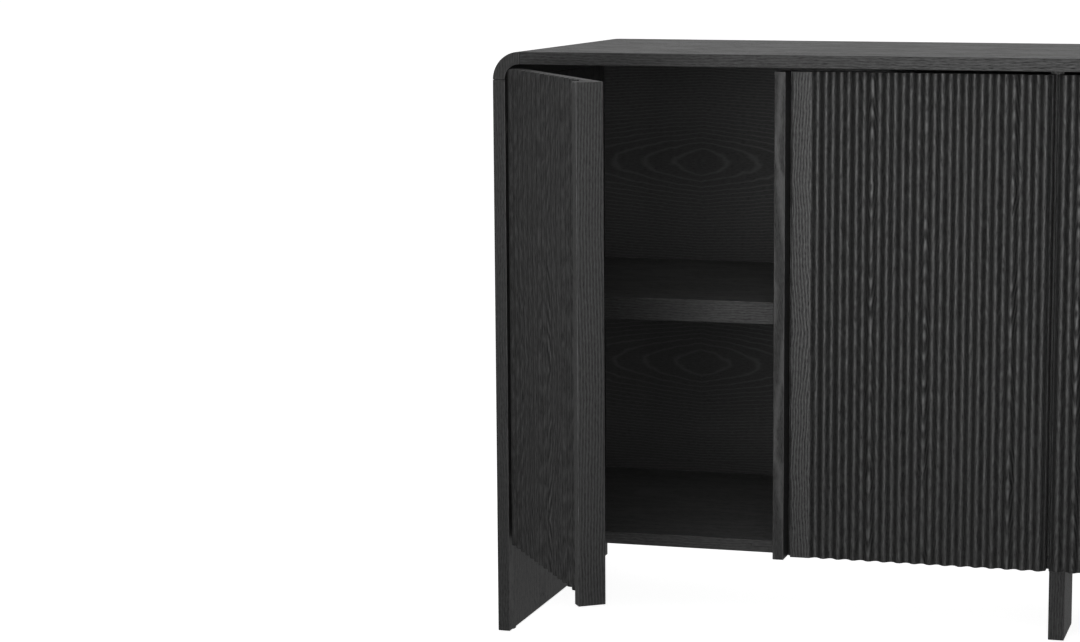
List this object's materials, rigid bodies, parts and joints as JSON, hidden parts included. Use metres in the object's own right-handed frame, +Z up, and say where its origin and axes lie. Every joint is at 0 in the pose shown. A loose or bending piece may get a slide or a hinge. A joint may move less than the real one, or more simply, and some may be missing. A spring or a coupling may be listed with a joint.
{
  "type": "sideboard buffet",
  "caption": "Low black-stained sideboard: a rounded waterfall case on slab sides, fluted inset doors with full-height edge pulls, shelves inside.",
  "frame": {"origin": "on the floor, at the centre of the underside of the centre foot", "axes": "+X to the right as seen from the front, +Y from the front to the back, +Z up"},
  "size_m": [1.6, 0.832, 0.85],
  "materials": {
    "black_oak": "black-stained open-pore oak veneer with a satin lacquer",
    "hinge_steel": "nickel-plated pressed steel",
    "glide_plastic": "black moulded plastic",
    "bumper_rubber": "soft translucent grey"
  },
  "bodies": {
    "case": {"top_panel": "black_oak", "bottom_panel": "black_oak", "centre_partition": "black_oak", "corner_block_left": "black_oak", "corner_block_right": "black_oak", "side_panel_left": "black_oak", "side_panel_right": "black_oak", "back_panel_left": "black_oak", "back_panel_right": "black_oak", "centre_leg": "black_oak", "shelf_left": "black_oak", "shelf_right": "black_oak", "glide_centre": "glide_plastic", "glide_left_front": "glide_plastic", "glide_left_rear": "glide_plastic", "glide_right_front": "glide_plastic", "glide_right_rear": "glide_plastic", "shelf_pin_left_outer_front": "hinge_steel", "shelf_pin_left_outer_rear": "hinge_steel", "shelf_pin_left_inner_front": "hinge_steel", "shelf_pin_left_inner_rear": "hinge_steel", "shelf_pin_right_outer_front": "hinge_steel", "shelf_pin_right_outer_rear": "hinge_steel", "shelf_pin_right_inner_front": "hinge_steel", "shelf_pin_right_inner_rear": "hinge_steel", "hinge_arm_left_outer_lower": "hinge_steel", "hinge_arm_left_outer_upper": "hinge_steel", "hinge_arm_left_inner_lower": "hinge_steel", "hinge_arm_left_inner_upper": "hinge_steel", "hinge_arm_right_inner_lower": "hinge_steel", "hinge_arm_right_inner_upper": "hinge_steel", "hinge_arm_right_outer_lower": "hinge_steel", "hinge_arm_right_outer_upper": "hinge_steel", "door_bumper_left_outer": "bumper_rubber", "door_bumper_left_inner": "bumper_rubber", "door_bumper_right_inner": "bumper_rubber", "door_bumper_right_outer": "bumper_rubber"},
    "door_left_outer": {"door_panel_left_outer": "black_oak", "door_pull_left_outer": "black_oak", "hinge_cup_left_outer_lower": "hinge_steel", "hinge_cup_left_outer_upper": "hinge_steel"},
    "door_left_inner": {"door_panel_left_inner": "black_oak", "door_pull_left_inner": "black_oak", "hinge_cup_left_inner_lower": "hinge_steel", "hinge_cup_left_inner_upper": "hinge_steel"},
    "door_right_inner": {"door_panel_right_inner": "black_oak", "door_pull_right_inner": "black_oak", "hinge_cup_right_inner_lower": "hinge_steel", "hinge_cup_right_inner_upper": "hinge_steel"},
    "door_right_outer": {"door_panel_right_outer": "black_oak", "door_pull_right_outer": "black_oak", "hinge_cup_right_outer_lower": "hinge_steel", "hinge_cup_right_outer_upper": "hinge_steel"}
  },
  "joints": [
    {"name": "door_left_outer_hinge", "type": "hinge", "parent": "case", "child": "door_left_outer", "pos_m": [-0.798, -0.184, 0.4805], "axis": [0, 0, -1], "range_deg": [-55, 40]},
    {"name": "door_left_inner_hinge", "type": "hinge", "parent": "case", "child": "door_left_inner", "pos_m": [-0.005, -0.177, 0.4805], "axis": [0, 0, 1], "range_deg": [0, 85]},
    {"name": "door_right_inner_hinge", "type": "hinge", "parent": "case", "child": "door_right_inner", "pos_m": [0.005, -0.177, 0.4805], "axis": [0, 0, -1], "range_deg": [0, 85]},
    {"name": "door_right_outer_hinge", "type": "hinge", "parent": "case", "child": "door_right_outer", "pos_m": [0.798, -0.184, 0.4805], "axis": [0, 0, 1], "range_deg": [0, 95]}
  ]
}
